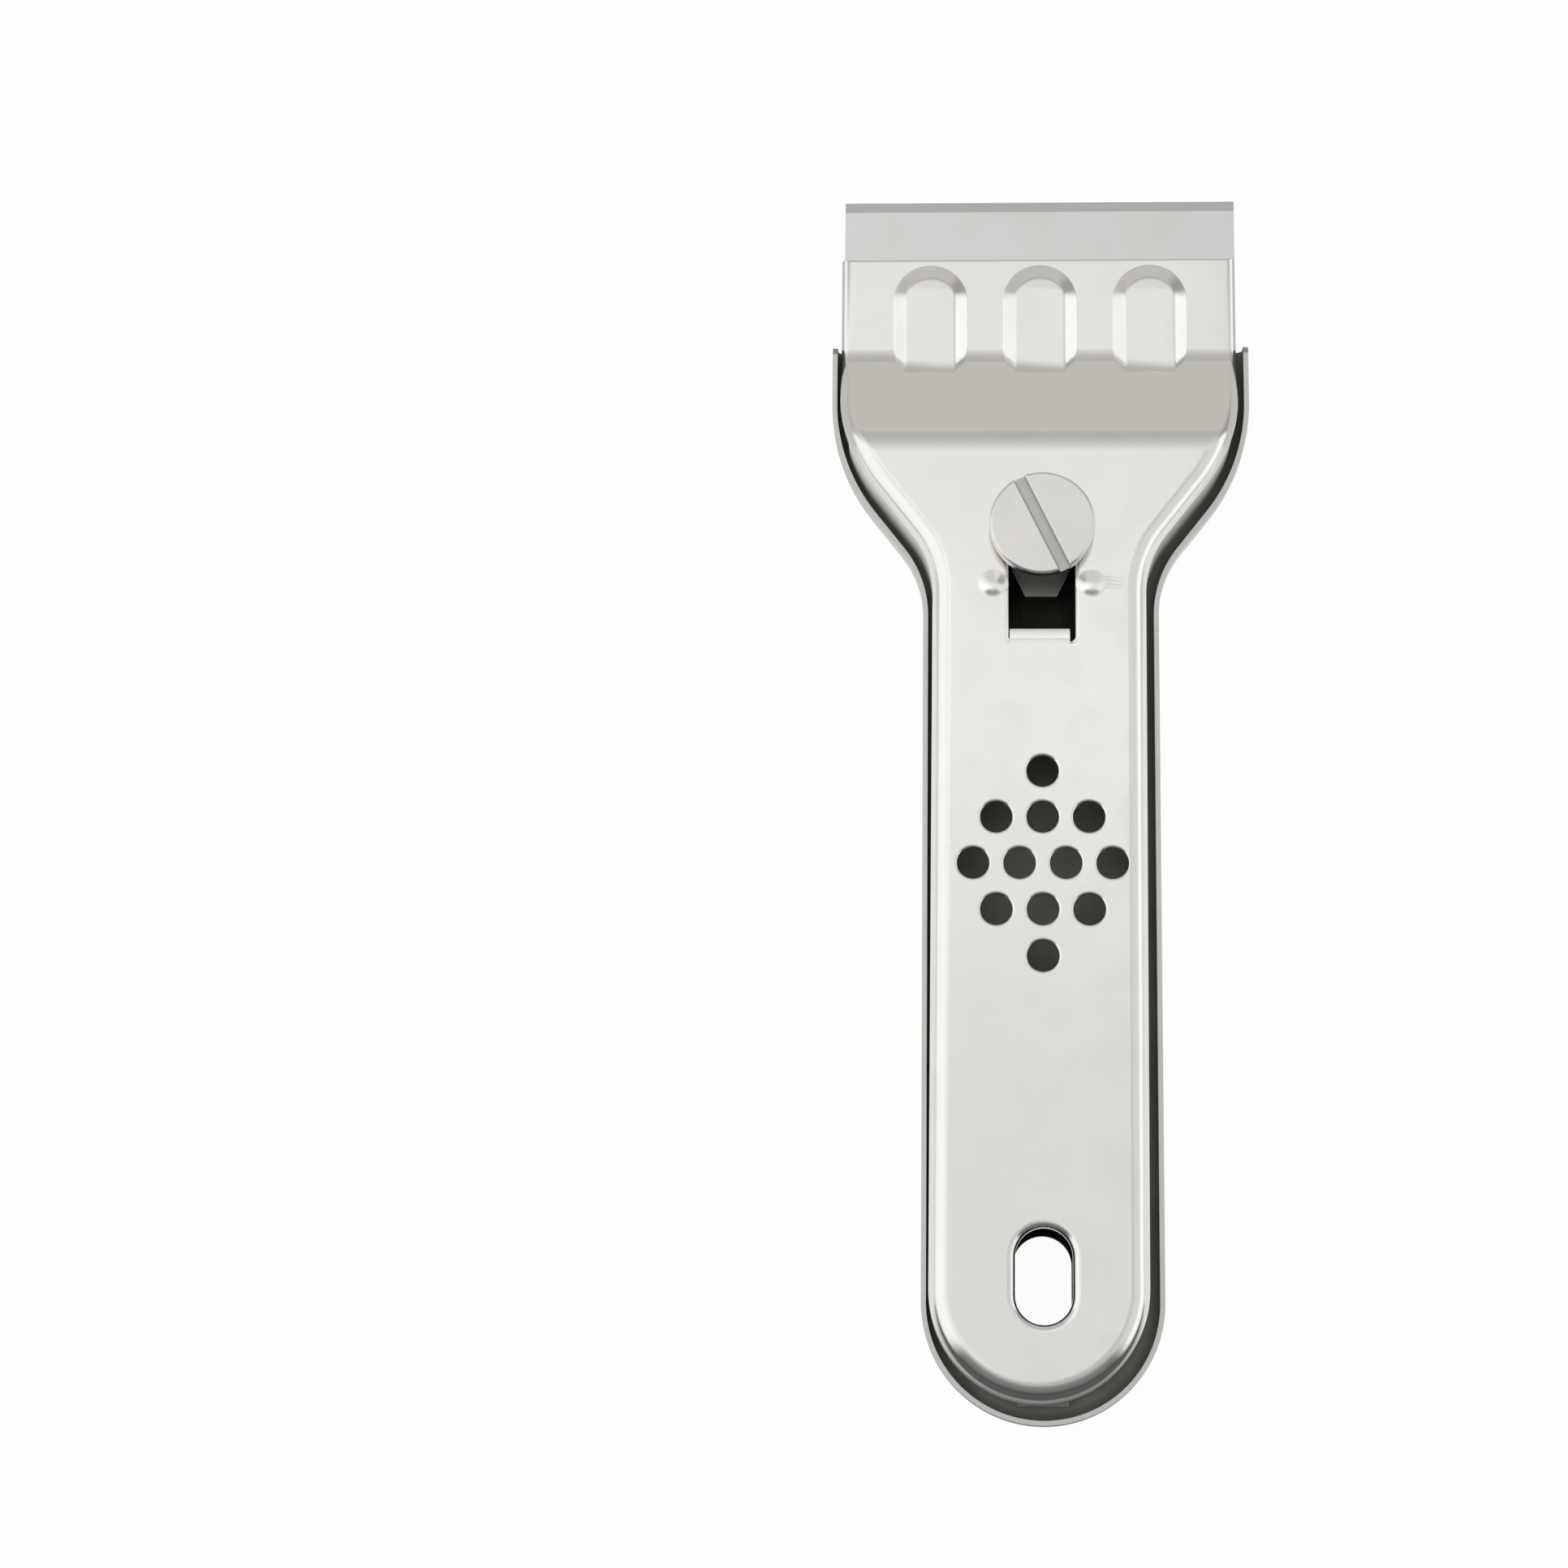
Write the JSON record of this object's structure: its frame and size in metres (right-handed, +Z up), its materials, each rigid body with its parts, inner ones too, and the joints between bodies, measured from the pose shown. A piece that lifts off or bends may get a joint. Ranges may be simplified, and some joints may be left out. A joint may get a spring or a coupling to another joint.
{
  "type": "cleaning scraper",
  "caption": "Flat steel hob scraper: two pressed half shells hold a sliding blade that a slotted screw locks in its slot.",
  "frame": {"origin": "middle of the bounding box's bottom face: the scraper lies on its back, with the tray's floor on the ground", "axes": "+Y towards the cutting edge, along the length; +X to the right seen from above; +Z up, through the cover"},
  "size_m": [0.0422, 0.1252, 0.0119],
  "materials": {
    "cover": "satin stainless sheet, lightly polished",
    "tray": "satin stainless sheet",
    "blade": "ground blade steel with a fine cutting bevel",
    "carrier": "plain stamped sheet",
    "peg": "turned steel",
    "screw": "nickel-plated turned steel",
    "ring": "plain steel",
    "nut": "zinc-plated steel"
  },
  "bodies": {
    "housing": {"top_shell": "cover", "bottom_tray": "tray"},
    "slider": {"blade_carrier": "carrier", "blade": "blade", "blade_peg_left": "peg", "blade_peg_centre": "peg", "blade_peg_right": "peg", "square_nut": "nut"},
    "ring": {"spacer_ring": "ring"},
    "screw": {"clamp_screw": "screw"}
  },
  "joints": [
    {"name": "blade_slide", "type": "slide", "parent": "housing", "child": "slider", "axis": [0, -1, 0], "range_m": [0, 0.007]},
    {"name": "screw_lift", "type": "slide", "parent": "slider", "child": "ring", "axis": [0, 0, 1], "range_m": [0, 0.0014]},
    {"name": "screw_turn", "type": "hinge", "parent": "ring", "child": "screw", "pos_m": [0, 0.0251, 0.0095], "axis": [0, 0, 1], "range_deg": [0, 720]}
  ],
  "couplings": [
    {"joint": "screw_turn", "follows": "screw_lift", "rad_per_m": 8975.9}
  ]
}
